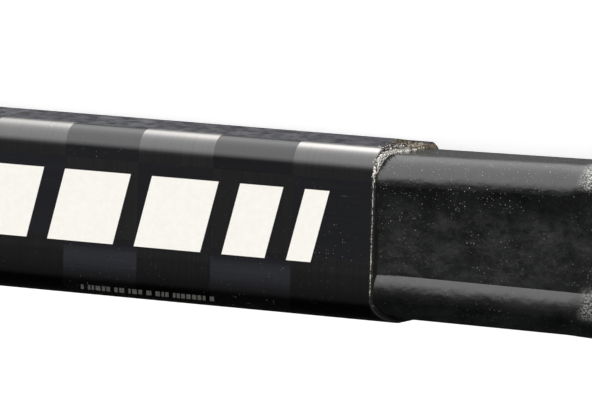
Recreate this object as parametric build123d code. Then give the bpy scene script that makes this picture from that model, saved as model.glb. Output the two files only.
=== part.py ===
from build123d import *
import os
from math import cos, radians, sin

os.makedirs("parts", exist_ok=True)

# Ice hockey stick, senior size, for a player who shoots left. Millimetres.
# While it is modelled, the heel is at x = 0 and the shaft's axis is the X axis:
# +X runs from the butt to the heel, +Y is the toe side, and +Z comes out of the forehand face.
# At the end the whole stick moves so that the origin is under the middle of its box.

# Shaft: a hollow carbon tube, taller than it is thick
butt_to_heel = 1524.0
shaft_height = 30.0
shaft_thickness = 20.0
shaft_corner = 3.8
shaft_wall = 1.6

# Joint between the shaft and the blade's hosel
seam_to_heel = 131.0
seam_slant = 5.0
break_back = 2.0
break_depth = 1.1
kept_skin = 2.6
seam_tongue = 5.0
tongue_height = 4.0
bead_width = 0.25
tenon_length = 70.0
bond_gap = 0.2
tenon_wall = 2.0
foam_stop_length = 35.0

# Hosel: the blade's neck outside the shaft
hosel_step_top = 1.1
hosel_step_bottom = 0.65
hosel_step_face = 0.6
hosel_length = 43.0
hosel_swell_length = 9.0
hosel_end_thickness = 15.5
hosel_spread_top = 0.020
hosel_spread_bottom = 0.0114
top_corner = 5.0
bottom_corner = 4.5
ledge_height = 7.9
ledge_depth = 1.0
ledge_step_run = 0.15
lip_share = 0.85
rail_round_run = 3.2
faded_ledge = 0.05

# Blade
lie_angle = 45.0
blade_length = 310.0
heel_blade_height = 62.0
toe_blade_height = 74.0
heel_radius = 34.0
toe_bottom_radius = 42.0
toe_top_radius = 26.0
throat_radius = 80.0
heel_thickness = 10.6
middle_thickness = 8.4
toe_thickness = 6.4
blade_curve = 12.0
skin_thickness = 1.4
rim_width = 3.0
edge_round = 2.2
rib_thickness = 2.0

# Butt end plug
plug_length = 60.0
plug_clearance = 0.1
plug_head = 3.0
plug_head_inset = 0.4
plug_nose_chamfer = 1.5

# Tape
knob_length = 20.0
knob_build = 4.0
grip_length = 230.0
grip_tape_thickness = 0.6
blade_tape_thickness = 0.5
blade_tape_start = 42.0
blade_tape_end = 318.0

reach = 500.0
butt_x = -butt_to_heel
seam_x = -seam_to_heel
hosel_end_x = seam_x + hosel_length
swell_x = hosel_end_x - hosel_swell_length
bore_height = shaft_height - 2 * shaft_wall
bore_thickness = shaft_thickness - 2 * shaft_wall
bore_corner = shaft_corner - shaft_wall
blade_along = Vector(cos(radians(lie_angle)), sin(radians(lie_angle)), 0)
blade_up = Vector(-sin(radians(lie_angle)), cos(radians(lie_angle)), 0)


def block(x_low, x_high):
    """Everything between two planes across the shaft."""
    return Pos((x_low + x_high) / 2, 0, 0) * Box(x_high - x_low, 2 * reach, 2 * reach)


def bar(x_low, x_high, height, thickness, corner):
    """A straight bar of rounded rectangular section along the shaft's axis."""
    section = Plane.YZ.offset(x_low) * RectangleRounded(height, thickness, corner)
    return extrude(section, amount=x_high - x_low)


def beyond_seam(gap=0.0):
    """Everything on the blade's side of the shaft's cut end, with its slant and its lower tongue."""
    low_y = -shaft_height / 2
    cut_x = seam_x + gap
    root = (cut_x, low_y + tongue_height)
    tip = (cut_x + seam_tongue, low_y - 0.2)
    edge = [
        Line((cut_x, shaft_height), root),
        ThreePointArc(root, (cut_x + seam_tongue * 0.3, low_y + tongue_height * 0.25), tip),
        Polyline(
            tip,
            (cut_x + seam_tongue, low_y - tongue_height),
            (reach, low_y - tongue_height),
            (reach, shaft_height),
            (cut_x, shaft_height),
        ),
    ]
    lean = seam_slant / shaft_thickness
    direction = Vector(-lean, 0, 1)
    start = -shaft_thickness
    shift = Pos(lean * (shaft_thickness / 2 - start), 0, start)
    depth = 2 * shaft_thickness * direction.length
    return extrude(shift * make_face(edge), amount=depth, dir=direction)


def broken_edge():
    """What has broken off the cut end's toe side: a long bevel, short of the corner at the back."""
    stop = -shaft_thickness / 2 + kept_skin
    lean = seam_slant / shaft_thickness
    front = Vector(seam_x, shaft_height / 2, shaft_thickness * 0.3)
    back = Vector(seam_x - break_back, shaft_height / 2, stop)
    tip = Vector(seam_x + lean * (shaft_thickness / 2 - stop), shaft_height / 2 - break_depth, stop)
    normal = (back - front).cross(tip - front).normalized()
    if normal.Y < 0:
        normal = -normal
    bevel = Plane(origin=front, z_dir=normal) * Pos(0, 0, 20) * Box(60, 60, 40)
    return bevel & Pos(seam_x, 0, stop + shaft_thickness) * Box(80, 80, 2 * shaft_thickness)


# Shaft tube, with its end cut on a slant where the hosel comes out of it
far_end = seam_x + seam_slant + seam_tongue + 5
shaft_blank = bar(butt_x, far_end, shaft_height, shaft_thickness, shaft_corner)
shaft_bore = bar(butt_x, far_end, bore_height, bore_thickness, bore_corner)
shaft_tube = shaft_blank - shaft_bore - beyond_seam() - broken_edge()

# Foam stop, pressed into the bore ahead of the tenon
tenon_x = seam_x - tenon_length
stop_blank = bar(tenon_x - foam_stop_length, tenon_x, bore_height, bore_thickness, bore_corner)
shaft_foam_stop = stop_blank

# Adhesive film round the tenon
film = bar(tenon_x, far_end, bore_height, bore_thickness, bore_corner)
tenon_blank = bar(
    tenon_x, far_end, bore_height - 2 * bond_gap, bore_thickness - 2 * bond_gap, bore_corner - bond_gap
)
joint_adhesive = film - tenon_blank - beyond_seam()


def hosel_section(x, grow_top=0.0, grow_bottom=0.0, thickness=0.0, corners=(), ledge=ledge_depth):
    """The hosel's outline across the shaft: a dished face over a proud lower rail, on both sides."""
    top = shaft_height / 2 - hosel_step_top + grow_top
    bottom = -shaft_height / 2 + hosel_step_bottom - grow_bottom
    upper, lower = corners
    half = thickness / 2
    foot = bottom + ledge_height
    bend = cos(radians(45))
    face = half - ledge
    lip = foot - ledge_step_run
    lip_face = half - ledge * lip_share
    rail = foot - ledge_step_run - rail_round_run
    front = [
        Line((bottom + lower, half), (rail, half)),
        ThreePointArc((rail, half), ((rail + lip) / 2, half - ledge * lip_share / 4), (lip, lip_face)),
        Line((lip, lip_face), (foot, face)),
        ThreePointArc((foot, face), ((foot + top - upper) / 2, face + ledge * 0.1), (top - upper, half)),
    ]
    crown = ThreePointArc(
        (top - upper, half),
        (top - upper + upper * bend, half - upper + upper * bend),
        (top, half - upper),
    )
    sole = ThreePointArc(
        (bottom, half - lower),
        (bottom + lower - lower * bend, half - lower + lower * bend),
        (bottom + lower, half),
    )
    side = [sole, *front, crown]
    middle_top = Line((top, half - upper), (top, -half + upper))
    middle_bottom = Line((bottom, -half + lower), (bottom, half - lower))
    edges = [*side, middle_top, *[mirror(edge, about=Plane.XZ) for edge in side], middle_bottom]
    return Plane.YZ.offset(x) * make_face(edges)


# Hosel with its tenon: one moulded carbon shell
seam_thickness = shaft_thickness - 2 * hosel_step_face
thickness_slope = (seam_thickness - hosel_end_thickness) / hosel_length


def hosel_at(x, corners, ledge):
    run = x - seam_x
    return hosel_section(
        x,
        grow_top=hosel_spread_top * run,
        grow_bottom=hosel_spread_bottom * run,
        thickness=seam_thickness - thickness_slope * run,
        corners=corners,
        ledge=ledge,
    )


hosel_outer = loft(
    [
        hosel_at(seam_x - 5, (top_corner, bottom_corner), ledge_depth),
        hosel_at(swell_x, (top_corner, bottom_corner), ledge_depth),
        hosel_at(hosel_end_x, (edge_round, edge_round), faded_ledge),
    ],
    ruled=True,
)
hosel_top = shaft_height / 2 - hosel_step_top + hosel_spread_top * hosel_length
hosel_bottom = -shaft_height / 2 + hosel_step_bottom - hosel_spread_bottom * hosel_length
cavity_height = bore_height - 2 * bond_gap - 2 * tenon_wall
cavity_thickness = bore_thickness - 2 * bond_gap - 2 * tenon_wall
tenon_cavity = bar(tenon_x, seam_x, cavity_height, cavity_thickness, 2)
hosel_cavity = loft(
    [
        Plane.YZ.offset(seam_x) * RectangleRounded(cavity_height, cavity_thickness, 2),
        Plane.YZ.offset(hosel_end_x)
        * Pos((hosel_top + hosel_bottom) / 2, 0)
        * RectangleRounded(
            hosel_top - hosel_bottom - 2 * rim_width, hosel_end_thickness - 2 * skin_thickness, 1.0
        ),
    ]
)
outside_neck = hosel_outer & beyond_seam(bead_width)
cavity = tenon_cavity + hosel_cavity
blade_hosel = (tenon_blank & block(tenon_x, far_end)) - beyond_seam(bead_width) + outside_neck - cavity
hosel_core = cavity

# Resin squeezed out of the joint, a thin bead between the shaft's end and the hosel's shoulder
bead_ring = bar(seam_x - 5, far_end, shaft_height - 0.9, shaft_thickness - 0.9, shaft_corner - 0.45)
joint_resin_bead = bead_ring & (beyond_seam() - beyond_seam(bead_width)) - tenon_blank


def blade_outline(start_x):
    """The blade seen square to its face, with the hosel running into it."""
    sole_y = hosel_bottom
    heel = Vector(0, sole_y)
    toe_low = heel + blade_along * blade_length
    toe_high = toe_low + blade_up * toe_blade_height - blade_along * 4
    top_start = heel + blade_up * heel_blade_height
    rise = (toe_high - top_start).normalized()
    throat = top_start - rise * ((top_start.Y - hosel_top) / rise.Y)
    line = FilletPolyline(
        (start_x, hosel_bottom),
        (heel.X, heel.Y),
        (toe_low.X, toe_low.Y),
        (toe_high.X, toe_high.Y),
        (throat.X, throat.Y),
        (start_x, hosel_top),
        radius=[heel_radius, toe_bottom_radius, toe_top_radius, throat_radius],
    )
    return make_face(line + Line((start_x, hosel_top), (start_x, hosel_bottom)))


bisector = radians(lie_angle / 2)
band_plane = Plane(
    origin=(0, 0, 0), x_dir=(cos(bisector), sin(bisector), 0), z_dir=(sin(bisector), -cos(bisector), 0)
)
# Places along the blade, measured along the bisector of the shaft and the blade
neck_u = -78.0
heel_u = 20.0
middle_u = 150.0
toe_u = 292.0
curve_u = 50.0


def lift(u):
    """How far the blade's middle surface has curved towards the forehand side."""
    if u < curve_u:
        return 0.0
    return blade_curve * ((u - curve_u) / (toe_u - curve_u)) ** 2


def blade_band(inset=0.0):
    """The blade's thickness, drawn along the bisector and carried right across the blade."""
    spots = [(neck_u, hosel_end_thickness), (-30, 12.9), (heel_u, heel_thickness)]
    spots += [(middle_u / 2 + 10, (heel_thickness + middle_thickness) / 2), (middle_u, middle_thickness)]
    spots += [((middle_u + toe_u) / 2, (middle_thickness + toe_thickness) / 2), (toe_u, toe_thickness)]
    upper = [(u, lift(u) + t / 2 - inset) for u, t in spots]
    lower = [(u, lift(u) - t / 2 + inset) for u, t in spots]
    start = neck_u - 80
    edges = [
        Line((start, upper[0][1]), upper[0]),
        Spline(upper, tangents=[(1, 0), (1, 0.06)]),
        Line(upper[-1], lower[-1]),
        Spline(lower, tangents=[(1, 0), (1, 0.09)]),
        Line(lower[0], (start, lower[0][1])),
        Line((start, lower[0][1]), (start, upper[0][1])),
    ]
    return extrude(band_plane * make_face(edges), amount=reach, both=True)


def prism(face):
    return extrude(Pos(0, 0, -60) * face, amount=120)


def band_edges(solid):
    """The long edges between the blade's faces and its rim, but not those at the hosel."""
    found = []
    for edge in solid.edges():
        upright = abs(edge.tangent_at(0.5).Z) > 0.7
        at_hosel = edge.bounding_box().max.X < hosel_end_x + 0.01
        if not upright and not at_hosel:
            found.append(edge)
    return found


# Blade: an edge rim all round, a skin on each face, and a foam core that a rib divides
past_hosel = block(hosel_end_x, reach)
outline = blade_outline(hosel_end_x - 20)
blade_square = blade_band() & prism(outline) & past_hosel
blade_solid = fillet(band_edges(blade_square), edge_round)
inner_prism = prism(offset(outline, amount=-rim_width))
inner_blade = blade_band(skin_thickness) & inner_prism & past_hosel
blade_edge_rim = blade_solid - inner_prism
skins = ((blade_solid & inner_prism) - blade_band(skin_thickness)).solids().sort_by(Axis.Z)
blade_backhand_skin = skins[0]
blade_forehand_skin = skins[-1]

heel_corner = Vector(0, hosel_bottom, 0)
rib_line_start = heel_corner + blade_up * (heel_blade_height / 2)
rib_turn = rib_line_start - blade_along * (rib_line_start.Y / blade_along.Y)
rib_end = rib_turn + blade_along * (blade_length + toe_blade_height)
rib_path = FilletPolyline(
    (hosel_end_x - 20, 0), (rib_turn.X, rib_turn.Y), (rib_end.X, rib_end.Y), radius=throat_radius
)
rib_strip = prism(trace(rib_path, rib_thickness))
blade_bridge_rib = inner_blade & rib_strip
cores = (inner_blade - rib_strip).solids().sort_by(lambda core: core.center().dot(blade_up))
blade_core_lower = cores[0]
blade_core_upper = cores[-1]

# Blade tape, wound round the blade and stopping short of the toe
tape_middle = heel_corner + blade_along * ((blade_tape_start + blade_tape_end) / 2)
taped_length = blade_tape_end - blade_tape_start
taped = Pos(tape_middle.X, tape_middle.Y, 0) * Rot(0, 0, lie_angle) * Box(taped_length, reach, reach)
tape_square = blade_band(-blade_tape_thickness) & prism(offset(outline, amount=blade_tape_thickness))
tape_outer = fillet(band_edges(tape_square & past_hosel), edge_round + blade_tape_thickness)
blade_tape = (tape_outer & taped) - blade_solid

# Butt end plug: a nose that runs in the shaft's bore, and a head on the shaft's end
plug_nose_end = butt_x + plug_length
plug_seat = butt_x - plug_clearance
nose = bar(
    plug_seat - plug_head / 2,
    plug_nose_end,
    bore_height - 2 * plug_clearance,
    bore_thickness - 2 * plug_clearance,
    bore_corner,
)
nose = chamfer(nose.faces().sort_by(Axis.X)[-1].edges(), plug_nose_chamfer)
head_height = shaft_height - 2 * plug_head_inset
head_thickness = shaft_thickness - 2 * plug_head_inset
head = bar(plug_seat - plug_head, plug_seat, head_height, head_thickness, shaft_corner - plug_head_inset)
head = fillet(head.faces().sort_by(Axis.X)[0].edges(), plug_head / 3)
butt_end_plug = head + nose

# Knob, built up from twisted tape, and the grip tape over it and down the shaft
knob_blank = bar(
    butt_x,
    butt_x + knob_length,
    shaft_height + 2 * knob_build,
    shaft_thickness + 2 * knob_build,
    shaft_corner + knob_build,
)
knob_solid = fillet(knob_blank.faces().sort_by(Axis.X)[-1].edges(), knob_build * 0.7)
knob_winding = knob_solid - shaft_blank
cover_blank = bar(
    butt_x,
    butt_x + knob_length + grip_tape_thickness,
    shaft_height + 2 * (knob_build + grip_tape_thickness),
    shaft_thickness + 2 * (knob_build + grip_tape_thickness),
    shaft_corner + knob_build + grip_tape_thickness,
)
cover = fillet(cover_blank.faces().sort_by(Axis.X)[-1].edges(), knob_build * 0.7)
wrap = bar(
    butt_x,
    butt_x + grip_length,
    shaft_height + 2 * grip_tape_thickness,
    shaft_thickness + 2 * grip_tape_thickness,
    shaft_corner + grip_tape_thickness,
)
grip_tape = cover + wrap - knob_solid - shaft_blank

nodes = {
    "shaft_tube": shaft_tube,
    "shaft_foam_stop": shaft_foam_stop,
    "butt_end_plug": butt_end_plug,
    "knob_winding": knob_winding,
    "grip_tape": grip_tape,
    "blade_hosel": blade_hosel,
    "hosel_core": hosel_core,
    "joint_adhesive": joint_adhesive,
    "joint_resin_bead": joint_resin_bead,
    "blade_forehand_skin": blade_forehand_skin,
    "blade_backhand_skin": blade_backhand_skin,
    "blade_edge_rim": blade_edge_rim,
    "blade_core_upper": blade_core_upper,
    "blade_core_lower": blade_core_lower,
    "blade_bridge_rib": blade_bridge_rib,
    "blade_tape": blade_tape,
}

# The origin goes under the middle of the whole stick's box
corners = [shape.bounding_box() for shape in nodes.values()]
low = Vector(*(min(getattr(box.min, axis) for box in corners) for axis in "XYZ"))
high = Vector(*(max(getattr(box.max, axis) for box in corners) for axis in "XYZ"))
to_origin = Pos(-(low.X + high.X) / 2, -(low.Y + high.Y) / 2, -low.Z)
for name, shape in nodes.items():
    export_step(to_origin * shape, f"parts/{name}.step")
print("heel corner at", (to_origin * Pos(heel_corner)).position)
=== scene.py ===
import math
import random

import bmesh
import bpy
import numpy as np
from mathutils import Matrix, Vector


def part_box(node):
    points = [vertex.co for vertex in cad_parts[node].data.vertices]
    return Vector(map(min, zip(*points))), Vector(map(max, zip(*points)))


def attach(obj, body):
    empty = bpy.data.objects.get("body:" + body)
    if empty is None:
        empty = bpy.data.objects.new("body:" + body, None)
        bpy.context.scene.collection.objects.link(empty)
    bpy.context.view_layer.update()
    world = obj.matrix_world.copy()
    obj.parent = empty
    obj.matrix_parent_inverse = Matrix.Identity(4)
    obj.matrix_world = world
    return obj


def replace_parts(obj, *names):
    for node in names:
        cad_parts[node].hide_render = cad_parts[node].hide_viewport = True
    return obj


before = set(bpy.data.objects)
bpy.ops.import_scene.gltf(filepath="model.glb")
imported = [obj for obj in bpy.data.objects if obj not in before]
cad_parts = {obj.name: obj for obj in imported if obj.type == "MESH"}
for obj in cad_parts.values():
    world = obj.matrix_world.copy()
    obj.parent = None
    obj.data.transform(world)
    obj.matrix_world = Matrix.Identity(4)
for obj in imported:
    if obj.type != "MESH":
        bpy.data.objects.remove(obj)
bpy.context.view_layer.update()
scene = bpy.context.scene

# Shaft tube: carbon laminate moulded in one length, with a checkerboard of flat spread tows as its
# outer ply under a thick glossy clear coat. The tows are woven over and under each other, so each
# cell turns its fibres a quarter turn from its neighbours.


class Wire:
    """An output socket of a node tree, which can stand in sums."""

    def __init__(self, tree, socket=None):
        self.tree = tree
        self.socket = socket

    def node(self, kind, settings=None, sockets=None, out=0):
        """Adds a node: its settings come first, then the values or links of its sockets."""
        made = self.tree.nodes.new(kind)
        for name, value in (settings or {}).items():
            if name == "stops":
                ramp = made.color_ramp
                while len(ramp.elements) < len(value):
                    ramp.elements.new(0.5)
                for element, (place, colour) in zip(ramp.elements, value):
                    element.position = place
                    element.color = (*colour, 1)
            else:
                setattr(made, name, value)
        for name, value in (sockets or {}).items():
            if isinstance(value, Wire):
                self.tree.links.new(value.socket, made.inputs[name])
            elif isinstance(value, tuple) and len(value) == 3 and made.inputs[name].type == "RGBA":
                made.inputs[name].default_value = (*value, 1)
            else:
                made.inputs[name].default_value = value
        return Wire(self.tree, made.outputs[out] if made.outputs else None)

    def maths(self, operation, a, b):
        return self.node("ShaderNodeMath", {"operation": operation}, {0: a, 1: b})

    def __add__(self, other):
        return self.maths("ADD", self, other)

    def __radd__(self, other):
        return self.maths("ADD", other, self)

    def __sub__(self, other):
        return self.maths("SUBTRACT", self, other)

    def __rsub__(self, other):
        return self.maths("SUBTRACT", other, self)

    def __mul__(self, other):
        return self.maths("MULTIPLY", self, other)

    def __rmul__(self, other):
        return self.maths("MULTIPLY", other, self)

    def __truediv__(self, other):
        return self.maths("DIVIDE", self, other)

    def __gt__(self, other):
        return self.maths("GREATER_THAN", self, other)

    def __lt__(self, other):
        return self.maths("LESS_THAN", self, other)

    def __abs__(self):
        return self.maths("ABSOLUTE", self, 0.0)


def new_finish(name):
    """A material with an empty tree, and the wire that its nodes start from."""
    material = bpy.data.materials.new(name)
    material.use_nodes = True
    material.node_tree.nodes.clear()
    return material, Wire(material.node_tree)


def finish_with(start, shader):
    start.node("ShaderNodeOutputMaterial", {}, {"Surface": shader})


def clad(name, material):
    """Gives a CAD node this one material."""
    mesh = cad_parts[name].data
    mesh.materials.clear()
    mesh.materials.append(material)


def soft_step(wire, low, high, bottom=0.0, top=1.0):
    settings = {"interpolation_type": "SMOOTHSTEP"}
    sockets = {"Value": wire, "From Min": low, "From Max": high, "To Min": bottom, "To Max": top}
    return wire.node("ShaderNodeMapRange", settings, sockets)


def blend_colour(factor, first, second):
    settings = {"data_type": "RGBA"}
    return factor.node("ShaderNodeMix", settings, {0: factor, 6: first, 7: second}, out=2)


def place_of(start):
    """Object position and its three parts."""
    place = start.node("ShaderNodeTexCoord", out="Object")
    parts = place.node("ShaderNodeSeparateXYZ", {}, {0: place})
    outputs = parts.socket.node.outputs
    return place, *(Wire(start.tree, outputs[number]) for number in range(3))


def noise(start, vector, scale, detail=2.0, rough=0.5):
    sockets = {"Vector": vector, "Scale": scale, "Detail": detail, "Roughness": rough}
    return start.node("ShaderNodeTexNoise", {}, sockets)


def stretched(start, x, y, z):
    return start.node("ShaderNodeCombineXYZ", {}, {0: x, 1: y, 2: z})


def specks_of(start, place, scale):
    """Grains of dust or grit: a few large and bright, most of them small and dim."""
    sockets = {"Vector": place, "Scale": scale, "Randomness": 1.0}
    grains = start.node("ShaderNodeTexVoronoi", {"feature": "F1"}, sockets)
    chance = Wire(start.tree, grains.socket.node.outputs[1])
    chance = start.node("ShaderNodeSeparateColor", {}, {0: chance})
    brightness = Wire(start.tree, chance.socket.node.outputs[1])
    reach = chance.maths("POWER", chance, 2.5) * 0.27
    return soft_step(grains, reach, reach * 0.3) * (0.25 + 0.75 * brightness)


shaft_low, shaft_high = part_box("shaft_tube")
seam_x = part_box("joint_resin_bead")[0].x
axis_y = (shaft_low.y + shaft_high.y) / 2
axis_z = (shaft_low.z + shaft_high.z) / 2
half_height = (shaft_high.y - shaft_low.y) / 2
half_thickness = (shaft_high.z - shaft_low.z) / 2
front_z = shaft_high.z
corner_radius = 0.0038
flat_y = half_height - corner_radius
flat_z = half_thickness - corner_radius
tow_width = 0.0139
tow_row_start = 0.0096
tow_column_start = -0.0022
tow_stretch_start = -0.03
tow_stretch = 0.0019
toe_corner_y = 0.0122
toe_face_y = 0.0142
rubbed_from_z = 0.0072
rubbed_full_z = 0.0045

shaft_finish, start = new_finish("spread_tow_carbon")
place, x, y, z = place_of(start)
x = x - seam_x
y = y - axis_y
z_side = z - axis_z
z = abs(z_side)

# The way round the shaft's rounded section, measured from the middle of its forehand face
held_y = start.node("ShaderNodeClamp", {}, {"Value": y, "Min": -flat_y, "Max": flat_y})
held_z = z.maths("MINIMUM", z, flat_z)
turn = y.maths("ARCTAN2", abs(y - held_y), z - held_z)
round_the_shaft = abs(held_y) + corner_radius * turn + (flat_z - held_z)
around = round_the_shaft * y.maths("SIGN", y, 0.0)

# The woven cells: crosswise tows catch the light, and lengthwise ones stay dark
row = y.maths("FLOOR", (around - tow_row_start) / tow_width, 0.0)
stretch = soft_step(x, tow_stretch_start, 0.0, 0.0004, 0.0004 + tow_stretch)
column = y.maths("FLOOR", (x - stretch - tow_column_start) / tow_width, 0.0)
across = y.maths("FLOORED_MODULO", row + column, 2.0)
cell = stretched(start, row, column, 0.0)
cell_noise = start.node("ShaderNodeTexWhiteNoise", {"noise_dimensions": "2D"}, {"Vector": cell})
streak_along = noise(start, stretched(start, x * 60, around * 2600, 0.0), 1.0, 3.0)
streak_across = noise(start, stretched(start, x * 2600, around * 60, 0.0), 1.0, 3.0)
streak = streak_along * (1 - across) + streak_across * across
# Cells low on the forehand face are painted lighter, as a painted sheen of the weave.
lower_row_painted_sheen = soft_step(around, -0.0072, -0.0050, 1.0, 0.0)
# The weave is painted darker round the lower corner, down to nearly black, as painted shade.
painted_corner_shade = soft_step(around, -0.0122, -0.0076, 0.02, 1.0)
tone = (0.75 + 0.5 * cell_noise) * (0.6 + 0.8 * streak) * (0.62 + 1.0 * lower_row_painted_sheen) * painted_corner_shade
rubbed_face_and_painted_reflection = soft_step(y, toe_corner_y, toe_face_y)
rubbed_face_and_painted_reflection = rubbed_face_and_painted_reflection * soft_step(z_side, rubbed_from_z, rubbed_full_z)
low_shade = soft_step(around, -0.0075, -0.0040, 0.22, 1.0)
along_colour = blend_colour(tone * 0.6, (0.001, 0.001, 0.001), (0.022, 0.0228, 0.0285))
# The crosswise tows are painted darker on the toe-side narrow face and low on the forehand face, as
# painted shade.
crosswise_tone = tone * 0.6 * (1 - 0.7 * rubbed_face_and_painted_reflection) * low_shade
across_colour = blend_colour(crosswise_tone, (0.002, 0.002, 0.002), (0.082, 0.081, 0.083))
weave_colour = blend_colour(across, along_colour, across_colour)

# Scratches and dust, and the toe-side narrow face, which is rubbed dull and painted a flat grey in
# place of its grazing reflection: partly wear, partly a painted reflection
scratch_run = noise(start, stretched(start, x * 90, around * 1500, z * 90), 1.0, 4.0, 0.7)
scratches = soft_step(scratch_run, 0.69, 0.73)
speck_spread = noise(start, place, 60.0, 3.0)
dust = specks_of(start, place, 2400.0) * soft_step(speck_spread, 0.48, 0.62)
marred = scratches * 0.12 + dust * 0.5
rub = soft_step(noise(start, place, 420.0, 5.0, 0.7), 0.3, 0.7)
rub = rub * (1 - 0.35 * across) * (0.8 + 0.4 * cell_noise)
# Flat grey of the rubbed face: partly dull wear, partly a painted reflection standing in for the
# coat's grazing sheen.
rubbed_and_painted_reflection_colour = blend_colour(rub, (0.05, 0.0505, 0.056), (0.175, 0.176, 0.188))
surface_colour = blend_colour(rubbed_face_and_painted_reflection * 0.95, weave_colour, rubbed_and_painted_reflection_colour)
surface_colour = blend_colour(marred, surface_colour, (0.55, 0.53, 0.5))

# The cut end shows its raw plies, pale at the front and brown at the back
facing = start.node("ShaderNodeNewGeometry", out="True Normal")
facing = facing.node("ShaderNodeSeparateXYZ", {}, {0: facing})
near_end = soft_step(x, -0.006, -0.004)
cut = soft_step(facing, 0.03, 0.07) * near_end
plies = noise(start, place, 2300.0, 4.0, 0.75)
toe_side = soft_step(y, 0.0095, 0.0135)
outer_ply = soft_step(z_side, half_thickness - 0.0005, half_thickness - 0.0002)
clean_low = soft_step(y, -0.0125, -0.0085)
inner_lip = soft_step(x + 0.206 * z_side, 0.0026, 0.0028) * soft_step(y, 0.0138, 0.0143)
# Fewer pale plies in the crevice behind the front of the break, as painted shade.
crevice_shade = soft_step(x, 0.0002, 0.0007) * soft_step(z_side, 0.0066, 0.0082)
bright_from = 0.66 - 0.13 * toe_side - 0.2 * outer_ply * clean_low - 0.2 * inner_lip + 0.2 * crevice_shade
bright_ply = soft_step(plies, bright_from, bright_from + 0.1)
brown = soft_step(z_side, 0.001, -0.006) * toe_side
raw_light = blend_colour(brown, (0.85, 0.81, 0.73), (0.33, 0.275, 0.21))
raw_dark = blend_colour(brown, (0.03, 0.028, 0.026), (0.035, 0.028, 0.021))
raw_edge = blend_colour(bright_ply, raw_dark, raw_light)

# Chips along the far corner, and wear on the rim of the cut
far_corner = soft_step(z_side, -0.0055, -0.0075) * soft_step(y, toe_corner_y, 0.0138)
chip_run = noise(start, stretched(start, x * 330, y * 900, z_side * 900), 1.0, 3.0, 0.6)
chips = soft_step(chip_run, 0.62, 0.65) * far_corner * (1 - near_end)
rim_wear = soft_step(x - 0.25 * (half_thickness - z_side), -0.00045, -0.0001)
rim_wear = rim_wear * soft_step(noise(start, place, 3200.0, 3.0, 0.7), 0.56, 0.68) * near_end
rim_wear = rim_wear * soft_step(y, -0.0105, -0.0085)
surface_colour = blend_colour(rim_wear * 0.5, surface_colour, (0.5, 0.47, 0.42))
surface_colour = blend_colour(chips * 0.85, surface_colour, (0.72, 0.7, 0.62))
surface_colour = blend_colour(cut, surface_colour, raw_edge)
lift = noise(start, place, 500.0, 2.0) * 0.4 + streak * 0.2 + dust * 0.5 + plies * cut * 6
bump = start.node("ShaderNodeBump", {}, {"Strength": 0.12, "Distance": 0.00005, "Height": lift})
shader = start.node(
    "ShaderNodeBsdfPrincipled",
    {},
    {
        "Base Color": surface_colour,
        "Metallic": across * (1 - rubbed_face_and_painted_reflection) * (0.96 - 0.8 * marred) * (1 - cut) * (1 - chips),
        "Roughness": 0.38 + 0.1 * streak + 0.3 * cut,
        "Specular IOR Level": 0.0,
        "Coat Weight": (1 - 0.5 * marred) * (1 - cut) * (1 - 0.95 * rubbed_face_and_painted_reflection),
        "Coat Roughness": 0.07,
        "Normal": bump,
    },
)
finish_with(start, shader)
clad("shaft_tube", shaft_finish)

# Painted bars on the shaft's forehand face: five slanted bars, the last two narrower, laid on the
# clear coat as a thin white film.
film = 0.00004


def flat_patch(mesh, outline, height):
    """A thin film with this outline, on the shaft's forehand face."""
    low_ring = [mesh.verts.new((seam_x + px, axis_y + py, front_z - film)) for px, py in outline]
    ring = [mesh.verts.new((seam_x + px, axis_y + py, front_z + height)) for px, py in outline]
    mesh.faces.new(ring)
    mesh.faces.new(low_ring[::-1])
    for k in range(len(ring)):
        after = (k + 1) % len(ring)
        mesh.faces.new((low_ring[k], low_ring[after], ring[after], ring[k]))


def piece_from(mesh, name, material):
    data = bpy.data.meshes.new(name)
    bmesh.ops.recalc_face_normals(mesh, faces=mesh.faces)
    mesh.to_mesh(data)
    mesh.free()
    data.materials.append(material)
    made = bpy.data.objects.new(name, data)
    scene.collection.objects.link(made)
    return made


mark_finish, start = new_finish("cream_white_film")
place, x, y, z = place_of(start)
wear = noise(start, place, 900.0, 5.0, 0.7)
cream = blend_colour(soft_step(wear, 0.35, 0.75), (0.9, 0.875, 0.81), (0.95, 0.925, 0.87))
grime = soft_step(noise(start, place, 2600.0, 3.0, 0.6), 0.74, 0.8)
cream = blend_colour(grime * 0.4, cream, (0.25, 0.24, 0.22))
bump = start.node("ShaderNodeBump", {}, {"Strength": 0.1, "Distance": 0.00005, "Height": wear})
sockets = {"Base Color": cream, "Roughness": 0.35 + 0.2 * wear, "Normal": bump}
sockets.update({"Coat Weight": 0.6, "Coat Roughness": 0.08})
finish_with(start, start.node("ShaderNodeBsdfPrincipled", {}, sockets))

mark_low = -0.0052
mark_high = 0.0074
mark_slant = 0.25
bar_starts = [-0.0755, -0.0590, -0.0425, -0.0260, -0.0140]
bar_widths = [0.0125, 0.0125, 0.0125, 0.008, 0.0045]
mesh = bmesh.new()
for left, width in zip(bar_starts, bar_widths):
    middle = (mark_low + mark_high) / 2
    lean = [(py - middle) * mark_slant for py in (mark_low, mark_high)]
    outline = [
        (left + lean[0], mark_low),
        (left + width + lean[0], mark_low),
        (left + width + lean[1], mark_high),
        (left + lean[1], mark_high),
    ]
    flat_patch(mesh, outline, film)
slanted_bars = piece_from(mesh, "slanted_bars", mark_finish)
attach(slanted_bars, "stick")

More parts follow.
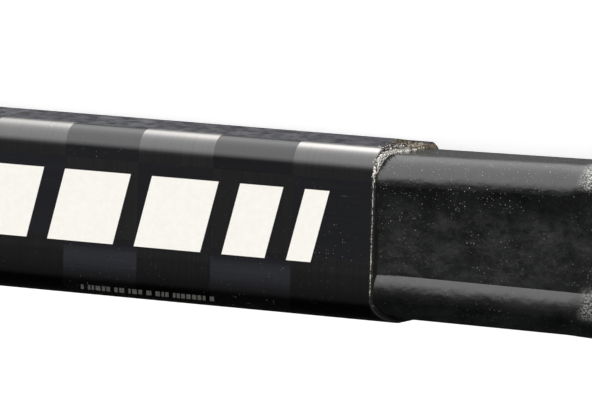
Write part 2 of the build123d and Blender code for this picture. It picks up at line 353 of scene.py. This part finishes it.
# Fine print below the bars: a row of short grey dashes, printed on the shaft's rounded corner as
# a film thinner than the bars.
dash_finish, start = new_finish("grey_print_film")
place, x, y, z = place_of(start)
patchy = noise(start, place, 5000.0, 3.0, 0.7)
grey = blend_colour(soft_step(patchy, 0.35, 0.6), (0.03, 0.029, 0.027), (0.085, 0.082, 0.076))
sockets = {"Base Color": grey, "Roughness": 0.5 + 0.2 * patchy, "Specular IOR Level": 0.2}
finish_with(start, start.node("ShaderNodeBsdfPrincipled", {}, sockets))


def on_shaft(run, around, height):
    """A point on the shaft's forehand side, by its place along and round the shaft."""
    lean = max(0.0, abs(around) - flat_y) / corner_radius
    side = min(abs(around), flat_y) + (corner_radius + height) * math.sin(lean)
    out = flat_z + (corner_radius + height) * math.cos(lean)
    return Vector((seam_x + run, axis_y + math.copysign(side, around), axis_z + out))


print_random = random.Random(8)
print_start = -0.0543
print_end = -0.0297
print_low = -0.0140
print_high = -0.0129
print_slant = 0.0002
dash_shortest = 0.0004
dash_longest = 0.0010
dash_gaps = [0.00025, 0.0003, 0.0003, 0.0008]
mesh = bmesh.new()
run = print_start
while run < print_end:
    dash = print_random.uniform(dash_shortest, dash_longest)
    slots = [print_low + (print_high - print_low) * k / 3 for k in range(4)]
    films = []
    for height in (-film, film / 2):
        sides = []
        for edge in (run, run + dash):
            places = [edge + print_slant * k / 3 for k in range(4)]
            spots = [on_shaft(place, slot, height) for place, slot in zip(places, slots)]
            sides.append([mesh.verts.new(spot) for spot in spots])
        films.append(sides)
    (low_left, low_far), (left, far) = films
    for k in range(3):
        mesh.faces.new((left[k], far[k], far[k + 1], left[k + 1]))
        mesh.faces.new((low_left[k + 1], low_far[k + 1], low_far[k], low_left[k]))
        mesh.faces.new((low_left[k], left[k], left[k + 1], low_left[k + 1]))
        mesh.faces.new((far[k], low_far[k], low_far[k + 1], far[k + 1]))
    mesh.faces.new((low_left[0], low_far[0], far[0], left[0]))
    mesh.faces.new((left[3], far[3], low_far[3], low_left[3]))
    run += dash + print_random.choice(dash_gaps)
print_dashes = piece_from(mesh, "print_dashes", dash_finish)
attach(print_dashes, "stick")

# Hosel: the blade's neck, painted black over moulded carbon. The paint has settled unevenly, and
# fine dust from the ice and the bag sits in it.
hosel_finish, start = new_finish("dusty_black_paint")
place, x, y, z = place_of(start)
x = x - seam_x
y = y - axis_y
swell = noise(start, place, 170.0, 3.0, 0.55)
grain = noise(start, place, 640.0, 4.0, 0.6)
clusters = noise(start, place, 110.0, 4.0, 0.6)
toe_edge = soft_step(y, 0.004, 0.009)

# The dust lies in clusters. It is put thicker and brighter on the toe side and thinner towards the
# bottom: partly dust, partly painted light, a lighter toe side and painted shade at the bottom
spread = soft_step(clusters + 0.1 * toe_edge, 0.43, 0.6) * soft_step(y, -0.0135, -0.0085, 0.15, 1.0)
dust = specks_of(start, place, 2500.0) * spread
fine_dust = specks_of(start, place, 3800.0) * (0.25 + 0.75 * spread)

# Where the neck swells into the blade, a pale patch is painted in as the highlight its curve
# catches, rougher and a little raised
forehand = soft_step(z, axis_z - 0.002, axis_z + 0.004)
painted_highlight_top = soft_step(x, 0.0352, 0.0385) * soft_step(y, 0.0102, 0.0125) * forehand
painted_highlight_low = soft_step(x, 0.0362, 0.0385) * soft_step(y, -0.0118, -0.0098)
painted_highlight_low = painted_highlight_low * soft_step(y, -0.0052, -0.0072)
painted_highlight = painted_highlight_top + 0.3 * painted_highlight_low * forehand
painted_highlight = painted_highlight * soft_step(noise(start, place, 2900.0, 4.0, 0.75), 0.42, 0.62)

# A patchy haze of handling, and hair-thin scratches
mottle = noise(start, place, 240.0, 5.0, 0.65)
haze_run = noise(start, stretched(start, x * 150, y * 220, z * 90), 1.0, 8.0, 0.8)
haze = soft_step(haze_run, 0.38, 0.7) * soft_step(y, -0.0085, -0.005) * soft_step(y, 0.009, 0.003)
hair_run = stretched(start, x * 700 + y * 500, y * 1900 - x * 900, z * 600)
hairs = soft_step(noise(start, hair_run, 1.0, 3.0, 0.6), 0.7, 0.73) * soft_step(clusters, 0.5, 0.62)
paint = blend_colour(soft_step(mottle, 0.3, 0.75), (0.002, 0.0023, 0.0024), (0.008, 0.0085, 0.0085))
paint = blend_colour(haze * (0.03 + 0.09 * fine_dust + 0.05 * grain), paint, (0.48, 0.48, 0.51))
settled = dust * 0.95 + fine_dust * 0.6 + hairs * 0.12
paint = blend_colour(settled * (1 + 0.6 * toe_edge), paint, (0.62, 0.61, 0.58))
paint = blend_colour(painted_highlight, paint, (0.85, 0.84, 0.8))
lift = swell * 0.9 + grain * 0.34 + dust * 0.1 + painted_highlight * 0.15
bump = start.node("ShaderNodeBump", {}, {"Strength": 0.35, "Distance": 0.0006, "Height": lift})
shader = start.node(
    "ShaderNodeBsdfPrincipled",
    {},
    {
        "Base Color": paint,
        "Roughness": 0.12 + 0.14 * mottle + 0.2 * dust + 0.4 * painted_highlight,
        "Specular IOR Level": 0.55,
        "Normal": bump,
    },
)
finish_with(start, shader)
clad("blade_hosel", hosel_finish)

# Blade: carbon skins pressed over foam, with a rim round the edge and a rib between the skins. The
# mould leaves it a little uneven, and it is sprayed satin black.
blade_finish, start = new_finish("satin_black_blade")
place, x, y, z = place_of(start)
mottle = noise(start, place, 120.0, 5.0, 0.65)
grain = noise(start, place, 1400.0, 2.0)
scuff_run = stretched(start, x * 500 + y * 500, x * 60 - y * 60, z * 60)
scuffs = soft_step(noise(start, scuff_run, 1.0, 5.0, 0.7), 0.64, 0.72)
paint = blend_colour(mottle, (0.008, 0.008, 0.009), (0.02, 0.02, 0.022))
paint = blend_colour(scuffs * 0.3, paint, (0.3, 0.3, 0.3))
lift = mottle + grain * 0.3
bump = start.node("ShaderNodeBump", {}, {"Strength": 0.3, "Distance": 0.0001, "Height": lift})
sockets = {"Base Color": paint, "Roughness": 0.35 + 0.2 * mottle + 0.1 * scuffs, "Normal": bump}
finish_with(start, start.node("ShaderNodeBsdfPrincipled", {}, sockets))
for name in ("blade_forehand_skin", "blade_backhand_skin", "blade_edge_rim", "blade_bridge_rib"):
    clad(name, blade_finish)

# Resin of the joint: an adhesive film round the tenon, and what it squeezed out at the seam, a thin
# hard bead, dark on the heel side and bubbly and pale on the toe side. Its pale dots are partly
# pale resin and partly painted glints.
resin_finish, start = new_finish("joint_resin")
place, x, y, z = place_of(start)
bubbles = noise(start, place, 2600.0, 4.0, 0.75)
toe_side = soft_step(y, axis_y + 0.0095, axis_y + 0.0125)
back_side = soft_step(z - axis_z, 0.004, -0.003)
# Pale dots: partly pale resin, partly painted glints, most of them on the toe side.
glint = soft_step(bubbles + 0.16 * toe_side - 0.02 * back_side, 0.63, 0.71)
dark_resin = blend_colour(back_side, (0.10, 0.093, 0.08), (0.075, 0.058, 0.043))
pale_resin_and_glint = blend_colour(back_side, (0.9, 0.87, 0.81), (0.42, 0.35, 0.27))
resin = blend_colour(toe_side, (0.012, 0.012, 0.011), dark_resin)
resin = blend_colour(glint, resin, pale_resin_and_glint)
bump = start.node("ShaderNodeBump", {}, {"Strength": 0.6, "Distance": 0.0001, "Height": bubbles})
sockets = {"Base Color": resin, "Roughness": 0.35 - 0.1 * glint, "Normal": bump}
finish_with(start, start.node("ShaderNodeBsdfPrincipled", {}, sockets))
for name in ("joint_resin_bead", "joint_adhesive"):
    clad(name, resin_finish)

# Frayed end: where the laminate has split on the toe side of the cut, raw glass and carbon fibres
# stick out of it, with crumbs of dried resin between them, whiter at the front than at the back.
fray_finish, start = new_finish("raw_fibre_ends")
place, x, y, z = place_of(start)
shreds = noise(start, place, 3300.0, 4.0, 0.75)
browned = soft_step(z - axis_z + 0.006 * (shreds - 0.5), 0.0015, -0.0045)
light_fibre = blend_colour(browned, (0.95, 0.93, 0.88), (0.40, 0.35, 0.27))
dark_fibre = blend_colour(browned, (0.075, 0.07, 0.062), (0.04, 0.033, 0.026))
fibre_colour = blend_colour(soft_step(shreds, 0.45, 0.52), dark_fibre, light_fibre)
bump = start.node("ShaderNodeBump", {}, {"Strength": 0.4, "Distance": 0.00005, "Height": shreds})
# The pale fibres glow a little, as painted light, though nothing in them gives light.
painted_glow = blend_colour(soft_step(shreds, 0.46, 0.56), (0.0, 0.0, 0.0), light_fibre)
sockets = {"Base Color": fibre_colour, "Roughness": 0.45 + 0.2 * shreds, "Normal": bump}
sockets.update({"Emission Color": painted_glow, "Emission Strength": 0.5})
finish_with(start, start.node("ShaderNodeBsdfPrincipled", {}, sockets))

# Each pair gives a point on the break's outer edge and one on its inner edge
torn_edges = [
    ((0.0001, 0.0085, 0.00985), (0.00015, 0.0085, 0.0097)),
    ((0.0000, 0.0112, 0.00995), (0.0002, 0.0110, 0.0098)),
    ((-0.0001, 0.0126, 0.00975), (0.0003, 0.0123, 0.0095)),
    ((-0.0001, 0.0139, 0.00890), (0.0006, 0.0135, 0.0086)),
    ((0.0000, 0.0149, 0.00620), (0.0017, 0.0142, 0.0058)),
    ((-0.0006, 0.0148, 0.00200), (0.0026, 0.0141, 0.0016)),
    ((-0.0013, 0.0147, -0.0030), (0.0036, 0.0141, -0.003)),
    ((-0.0016, 0.0147, -0.0073), (0.0044, 0.0142, -0.0073)),
    ((0.0012, 0.0138, -0.0087), (0.0046, 0.0134, -0.0087)),
]
mesh = bmesh.new()
seat = Vector((seam_x, axis_y, axis_z))
rails = [[mesh.verts.new(seat + Vector(point)) for point in pair] for pair in torn_edges]
for first, second in zip(rails, rails[1:]):
    mesh.faces.new((first[0], first[1], second[1], second[0]))
fray_bed = piece_from(mesh, "fray_bed", fray_finish)


def scattered(name, bed, shape, numbers):
    """Pieces of one small shape, scattered over a bed at random turns and sizes."""
    tree = bpy.data.node_groups.new(name, "GeometryNodeTree")
    sizes = {}
    tree.interface.new_socket("Bed", in_out="INPUT", socket_type="NodeSocketGeometry")
    for label, value in numbers.items():
        kind = "NodeSocketVector" if isinstance(value, tuple) else "NodeSocketFloat"
        sizes[label] = tree.interface.new_socket(label, in_out="INPUT", socket_type=kind)
    tree.interface.new_socket("Scattered", in_out="OUTPUT", socket_type="NodeSocketGeometry")
    start = Wire(tree)
    given = start.node("NodeGroupInput").socket.node.outputs
    given = {socket.name: Wire(tree, socket) for socket in given if socket.name}
    sockets = {"Mesh": given["Bed"], "Density": given["Density"], "Seed": 11}
    points = start.node("GeometryNodeDistributePointsOnFaces", {}, sockets)

    def drawn(label, seed):
        sockets = {0: given[label + " low"], 1: given[label + " high"], 8: seed}
        return start.node("FunctionNodeRandomValue", {"data_type": "FLOAT_VECTOR"}, sockets)

    shift = drawn("Shift", 3)
    points = start.node("GeometryNodeSetPosition", {}, {"Geometry": points, "Offset": shift})
    turn = drawn("Turn", 5)
    grow = drawn("Size", 9)
    sockets = {"Points": points, "Instance": shape(start, given), "Rotation": turn, "Scale": grow}
    spread = start.node("GeometryNodeInstanceOnPoints", {}, sockets)
    spread = start.node("GeometryNodeRealizeInstances", {}, {"Geometry": spread})
    sockets = {"Geometry": spread, "Material": fray_finish}
    spread = start.node("GeometryNodeSetMaterial", {}, sockets)
    start.node("NodeGroupOutput", {}, {0: spread})
    growth = bed.modifiers.new(name, "NODES")
    growth.node_group = tree
    for label, value in numbers.items():
        growth[sizes[label].identifier] = value
    graph = bpy.context.evaluated_depsgraph_get()
    data = bpy.data.meshes.new_from_object(bed.evaluated_get(graph))
    bed.modifiers.remove(growth)
    data.name = name
    made = bpy.data.objects.new(name, data)
    scene.collection.objects.link(made)
    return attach(made, "stick")


def splinter(start, given):
    sockets = {"Radius Top": given["Tip"], "Radius Bottom": given["Root"], "Depth": given["Length"]}
    return start.node("GeometryNodeMeshCone", {}, {"Vertices": 5, **sockets})


def crumb(start, given):
    sockets = {"Radius": given["Radius"], "Subdivisions": 1}
    return start.node("GeometryNodeMeshIcoSphere", {}, sockets)


splinter_numbers = {
    "Density": 5.0e6,
    "Length": 0.00075,
    "Root": 0.00008,
    "Tip": 0.00003,
    "Shift low": (-0.0002, -0.0001, -0.0003),
    "Shift high": (0.0002, 0.00005, 0.0003),
    "Turn low": (-0.1, -1.0, 0.0),
    "Turn high": (0.6, 1.0, 3.0),
    "Size low": (0.7, 0.7, 0.4),
    "Size high": (1.6, 1.6, 1.3),
}
crumb_numbers = {
    "Density": 9e6,
    "Radius": 0.00015,
    "Shift low": (-0.0001, -0.0003, -0.0001),
    "Shift high": (0.0001, 0.00004, 0.0001),
    "Turn low": (0.0, 0.0, 0.0),
    "Turn high": (3.0, 3.0, 3.0),
    "Size low": (0.4, 0.4, 0.4),
    "Size high": (1.7, 1.3, 1.9),
}
scattered("frayed_fibres", fray_bed, splinter, splinter_numbers)
scattered("resin_crumbs", fray_bed, crumb, crumb_numbers)
bpy.data.objects.remove(fray_bed)

# Foam inside the hosel, the blade and the shaft's end: rigid and cream, with small closed cells,
# cut to shape before the carbon is laid over it.
foam_finish, start = new_finish("rigid_foam")
place, x, y, z = place_of(start)
cells = start.node("ShaderNodeTexVoronoi", {"feature": "F1"}, {"Vector": place, "Scale": 1200.0})
foam = blend_colour(cells, (0.75, 0.68, 0.5), (0.55, 0.48, 0.33))
bump = start.node("ShaderNodeBump", {}, {"Strength": 0.5, "Distance": 0.0002, "Height": cells})
sockets = {"Base Color": foam, "Roughness": 0.8, "Normal": bump}
finish_with(start, start.node("ShaderNodeBsdfPrincipled", {}, sockets))
for name in ("hosel_core", "shaft_foam_stop", "blade_core_upper", "blade_core_lower"):
    clad(name, foam_finish)

# Butt end plug: injection-moulded in black plastic with a fine spark texture, and pressed into the
# shaft's bore.
plug_finish, start = new_finish("moulded_plug_plastic")
place, x, y, z = place_of(start)
spark = noise(start, place, 2500.0, 3.0, 0.6)
plastic = blend_colour(spark, (0.02, 0.02, 0.021), (0.05, 0.05, 0.052))
bump = start.node("ShaderNodeBump", {}, {"Strength": 0.4, "Distance": 0.00008, "Height": spark})
sockets = {"Base Color": plastic, "Roughness": 0.45 + 0.15 * spark, "Normal": bump}
finish_with(start, start.node("ShaderNodeBsdfPrincipled", {}, sockets))
clad("butt_end_plug", plug_finish)

# Grip: woven cotton tape with a sticky back. It is twisted into a knob at the butt, then wound over
# the knob and down the shaft, each turn lapping the one before.
tape_finishes = {}
for name, dark, light in (
    ("white_cloth_tape", (0.55, 0.54, 0.5), (0.78, 0.77, 0.73)),
    ("black_cloth_tape", (0.012, 0.012, 0.013), (0.045, 0.045, 0.047)),
):
    tape_finishes[name], start = new_finish(name)
    place, x, y, z = place_of(start)
    weave = noise(start, place, 3000.0, 2.0)
    stain = noise(start, place, 60.0, 5.0, 0.65)
    cloth = blend_colour(soft_step(weave * 0.5 + stain * 0.5, 0.35, 0.65), dark, light)
    bump = start.node("ShaderNodeBump", {}, {"Strength": 0.5, "Distance": 0.0002, "Height": weave})
    sockets = {"Base Color": cloth, "Roughness": 0.85 + 0.1 * weave, "Normal": bump}
    finish_with(start, start.node("ShaderNodeBsdfPrincipled", {}, sockets))
clad("knob_winding", tape_finishes["white_cloth_tape"])

grip_low, grip_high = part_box("grip_tape")
knob_low, knob_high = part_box("knob_winding")
tape_thickness = 0.0006
knob_build = (knob_high.y - knob_low.y) / 2 - half_height
around_count = 144
grip_pitch = 0.0175
grip_wander = 0.0005
knob_round = 0.0028
knob_slope = 0.0012
lap_foot = 0.38
lap_lip = 0.9


def grip_ring(build):
    """Points round the shaft's section, this far out from its surface."""
    flat = 4 * (flat_y + flat_z)
    curve = 2 * math.pi * corner_radius
    ring = []
    for k in range(around_count):
        place = k / around_count * (flat + curve)
        for number, (side_y, side_z) in enumerate([(1, 1), (-1, 1), (-1, -1), (1, -1)]):
            run = 2 * (flat_z if number % 2 == 0 else flat_y)
            if place < run:
                slide = place - run / 2
                out = (half_height if number % 2 == 0 else half_thickness) + build
                ring.append([(out, slide), (-slide, out), (-out, -slide), (slide, -out)][number])
                break
            place -= run
            if place < curve / 4:
                lean = place / corner_radius + number * math.pi / 2
                out_y = side_y * flat_y + (corner_radius + build) * math.cos(lean)
                out_z = side_z * flat_z + (corner_radius + build) * math.sin(lean)
                ring.append((out_y, out_z))
                break
            place -= curve / 4
    return np.array(ring)


bare_ring = grip_ring(0.0)
unit_ring = grip_ring(1.0) - bare_ring


def grip_build(run):
    """How far out the tape lies, this far from the butt: over the knob, then on the shaft."""
    knob_length = knob_high.x - knob_low.x
    past = run - (knob_length - knob_round)
    if past < 0:
        return knob_build
    if past < knob_round:
        return knob_build - knob_round + math.sqrt(knob_round**2 - past**2)
    return max(0.0, (knob_build - knob_round) * (1 - (past - knob_round) / knob_slope))


turns = int((grip_high.x - grip_low.x) / grip_pitch) + 2
strip_spots = [0.0, 0.012, 0.03] + [0.08 + 0.92 * k / 11 for k in range(11)]
mesh = bmesh.new()
grid = []
tape_random = np.random.default_rng(4)
wobble = tape_random.normal(0, grip_wander, turns + 4)


def turn_start(place):
    """Where a turn of the tape starts, this many turns from the butt."""
    whole = math.floor(place)
    part = place - whole
    return place * grip_pitch + wobble[whole + 1] * (1 - part) + wobble[whole + 2] * part


for turn, spot in [(turn, spot) for turn in range(-1, turns) for spot in strip_spots]:
    line = []
    for k in range(around_count + 1):
        begun = turn_start(turn + k / around_count)
        run = begun + spot * (turn_start(turn + 1 + k / around_count) - begun)
        proud = tape_thickness * (1.0 - (1.0 - lap_foot) * spot)
        if spot == 0.0:
            proud = tape_thickness * lap_foot
        elif spot == 0.012:
            proud = tape_thickness * lap_lip
        out = grip_build(run) + proud
        side = bare_ring[k % around_count] + unit_ring[k % around_count] * out
        line.append(mesh.verts.new((grip_low.x + run, axis_y + side[0], axis_z + side[1])))
    grid.append(line)
for lower, upper in zip(grid, grid[1:]):
    for k in range(around_count):
        mesh.faces.new((lower[k], upper[k], upper[k + 1], lower[k + 1]))
bmesh.ops.remove_doubles(mesh, verts=mesh.verts, dist=1e-6)
for end_x, outward in ((grip_low.x, -1), (grip_high.x, 1)):
    geometry = list(mesh.verts) + list(mesh.edges) + list(mesh.faces)
    plane = {"plane_co": (end_x, 0, 0), "plane_no": (outward, 0, 0)}
    bmesh.ops.bisect_plane(mesh, geom=geometry, clear_outer=True, **plane)

# Its two ends close down on to the shaft, and its sticky side lies along it
rims = [edge for edge in mesh.edges if edge.is_boundary]
walls = bmesh.ops.extrude_edge_only(mesh, edges=rims)["geom"]
for vertex in [made for made in walls if isinstance(made, bmesh.types.BMVert)]:
    side = Vector((0, vertex.co.y - axis_y, vertex.co.z - axis_z))
    held = Vector((0, min(max(side.y, -flat_y), flat_y), min(max(side.z, -flat_z), flat_z)))
    foot = held + (side - held).normalized() * corner_radius
    vertex.co = Vector((vertex.co.x, axis_y + foot.y, axis_z + foot.z))
bmesh.ops.bridge_loops(mesh, edges=[edge for edge in mesh.edges if edge.is_boundary])
wound_grip = piece_from(mesh, "wound_grip_tape", tape_finishes["white_cloth_tape"])
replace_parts(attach(wound_grip, "stick"), "grip_tape")
for polygon in wound_grip.data.polygons:
    polygon.use_smooth = False

# Blade tape: the same cloth in black, wound from the heel to the toe. Each turn laps the one
# before, so the blade shows a row of low steps, a little off square.
blade_turn = math.radians(45)
lap_lean = math.radians(6)
lap_normal = Vector((math.cos(blade_turn + lap_lean), math.sin(blade_turn + lap_lean), 0))
lap_pitch = 0.0162
lap_rise = 0.00045
lap_edge = 0.0005
lap_start = 0.004
lap_stop = 0.002
lap_shortest = 0.9
lap_longest = 1.08
nearness = 1e-5
mesh = bmesh.new()
mesh.from_mesh(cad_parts["blade_tape"].data)
bmesh.ops.remove_doubles(mesh, verts=mesh.verts, dist=1e-6)
places = [vertex.co.dot(lap_normal) for vertex in mesh.verts]
first_lap, last_lap = min(places), max(places)
lap_random = random.Random(21)
laps = []
lap = first_lap + lap_start
while lap < last_lap - lap_stop:
    laps.append(lap)
    lap += lap_pitch * lap_random.uniform(lap_shortest, lap_longest)
for lap in laps:
    for cut in (lap, lap + lap_edge):
        geometry = list(mesh.verts) + list(mesh.edges) + list(mesh.faces)
        bmesh.ops.bisect_plane(mesh, geom=geometry, plane_co=lap_normal * cut, plane_no=lap_normal)
mesh.normal_update()
moves = []
for vertex in mesh.verts:
    spot = vertex.co.dot(lap_normal)
    begun = [lap for lap in laps if lap < spot - nearness]
    rise = 0.0
    if begun:
        after = [lap for lap in laps if lap >= spot - nearness]
        end = after[0] if after else begun[-1] + lap_pitch
        past = (spot - begun[-1] - lap_edge) / (end - begun[-1] - lap_edge)
        rise = lap_rise * max(0.0, 1 - past)
    moves.append(vertex.normal * rise)
for vertex, move in zip(mesh.verts, moves):
    vertex.co += move
bmesh.ops.triangulate(mesh, faces=[face for face in mesh.faces if len(face.verts) > 4])
data = bpy.data.meshes.new("wound_blade_tape")
mesh.to_mesh(data)
mesh.free()
data.materials.append(tape_finishes["black_cloth_tape"])
wound_blade = bpy.data.objects.new("wound_blade_tape", data)
scene.collection.objects.link(wound_blade)
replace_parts(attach(wound_blade, "stick"), "blade_tape")

# Studio: a plain pale floor under a white dome, a long soft light on the toe side, and a lamp low
# on the same side that catches the crosswise tows.
floor_finish, start = new_finish("pale_floor")
grain = noise(start, start.node("ShaderNodeTexCoord", out="Object"), 3.0, 2.0)
pale = blend_colour(grain, (0.92, 0.92, 0.92), (0.94, 0.94, 0.94))
sockets = {"Base Color": pale, "Roughness": 1.0, "Specular IOR Level": 0.0}
sockets.update({"Emission Color": (1.0, 1.0, 1.0), "Emission Strength": 0.45})
shader = start.node("ShaderNodeBsdfPrincipled", {}, sockets)
finish_with(start, shader)
floor_half = 60.0
mesh = bmesh.new()
corners = [(-1, -1), (1, -1), (1, 1), (-1, 1)]
mesh.faces.new([mesh.verts.new((floor_half * cx, floor_half * cy, 0)) for cx, cy in corners])
floor = piece_from(mesh, "floor", floor_finish)
floor.visible_glossy = False
floor.visible_shadow = False

# Glossy surfaces mirror a long softbox over the toe side, and all else sees an even dome
world = bpy.data.worlds.new("studio")
scene.world = world
world.use_nodes = True
world.node_tree.nodes.clear()
world.cycles.sampling_method = "NONE"
start = Wire(world.node_tree)
direction = start.node("ShaderNodeTexCoord", out="Generated")
parts = direction.node("ShaderNodeSeparateXYZ", {}, {0: direction})
outputs = parts.socket.node.outputs
angle = parts.maths("ARCTAN2", Wire(start.tree, outputs[1]), Wire(start.tree, outputs[2]))
rise = soft_step(angle, math.radians(0), math.radians(36))
fall = soft_step(angle, math.radians(168), math.radians(108))
underside = soft_step(angle, math.radians(-42), math.radians(-6), 0.015, 0.14)
softbox_middle = -0.36
reach = soft_step(abs(Wire(start.tree, outputs[0]) - softbox_middle), 0.44, 0.22)
softbox = underside * (1 - rise) + rise * (0.2 + fall * (0.5 + 2.6 * reach))
glossy = start.node("ShaderNodeLightPath", out="Is Glossy Ray")
dome = 1.08
strength = glossy * softbox + (1 - glossy) * dome
sockets = {"Color": (1.0, 1.0, 1.0), "Strength": strength}
background = start.node("ShaderNodeBackground", {}, sockets)
start.node("ShaderNodeOutputWorld", {}, {"Surface": background})

# The low lamp lights the shaft tube alone
lamp_data = bpy.data.lights.new("low_lamp", "AREA")
lamp_data.shape = "RECTANGLE"
lamp_data.size = 0.3
lamp_data.size_y = 0.6
lamp_data.energy = 52.0
lamp_data.color = (1.0, 0.95, 0.88)
lamp = bpy.data.objects.new("low_lamp", lamp_data)
scene.collection.objects.link(lamp)
lamp_low = math.radians(-32)
lamp_away = 1.2
lamp_towards_butt = 0.2
lamp_aim = Vector((seam_x, axis_y, axis_z))
lamp_run = Vector((0, math.cos(lamp_low), math.sin(lamp_low))) * lamp_away
lamp_place = lamp_aim + lamp_run - Vector((lamp_towards_butt, 0, 0))
lamp.location = lamp_place
lamp.rotation_euler = (lamp_aim - lamp_place).to_track_quat("-Z", "Y").to_euler()
lamp.visible_camera = False
lamp.visible_diffuse = False
lamp_lit = bpy.data.collections.new("lit_by_low_lamp")
lamp_lit.objects.link(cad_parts["shaft_tube"])
lamp.light_linking.receiver_collection = lamp_lit

# Camera: close to the joint, above the forehand face, a little towards the blade and the toe side,
# with a long lens.
yaw = math.radians(21.24)
pitch = math.radians(8.41)
roll = math.radians(1.66)
distance = 0.85
aim = Vector((seam_x - 0.01405, axis_y + 0.00535, front_z))
back = Vector((math.sin(yaw) * math.cos(pitch), math.sin(pitch), math.cos(yaw) * math.cos(pitch)))
level = Vector((math.cos(yaw), 0, -math.sin(yaw)))
upright = back.cross(level)
right = math.cos(roll) * level + math.sin(roll) * upright
up = -math.sin(roll) * level + math.cos(roll) * upright
camera_data = bpy.data.cameras.new("camera")
camera_data.sensor_width = 36.0
camera_data.lens = 301.5
camera = bpy.data.objects.new("camera", camera_data)
scene.collection.objects.link(camera)
turned = Matrix((right, up, back)).transposed().to_4x4()
camera.matrix_world = Matrix.Translation(aim + distance * back) @ turned
scene.camera = camera
scene.view_settings.view_transform = "Standard"
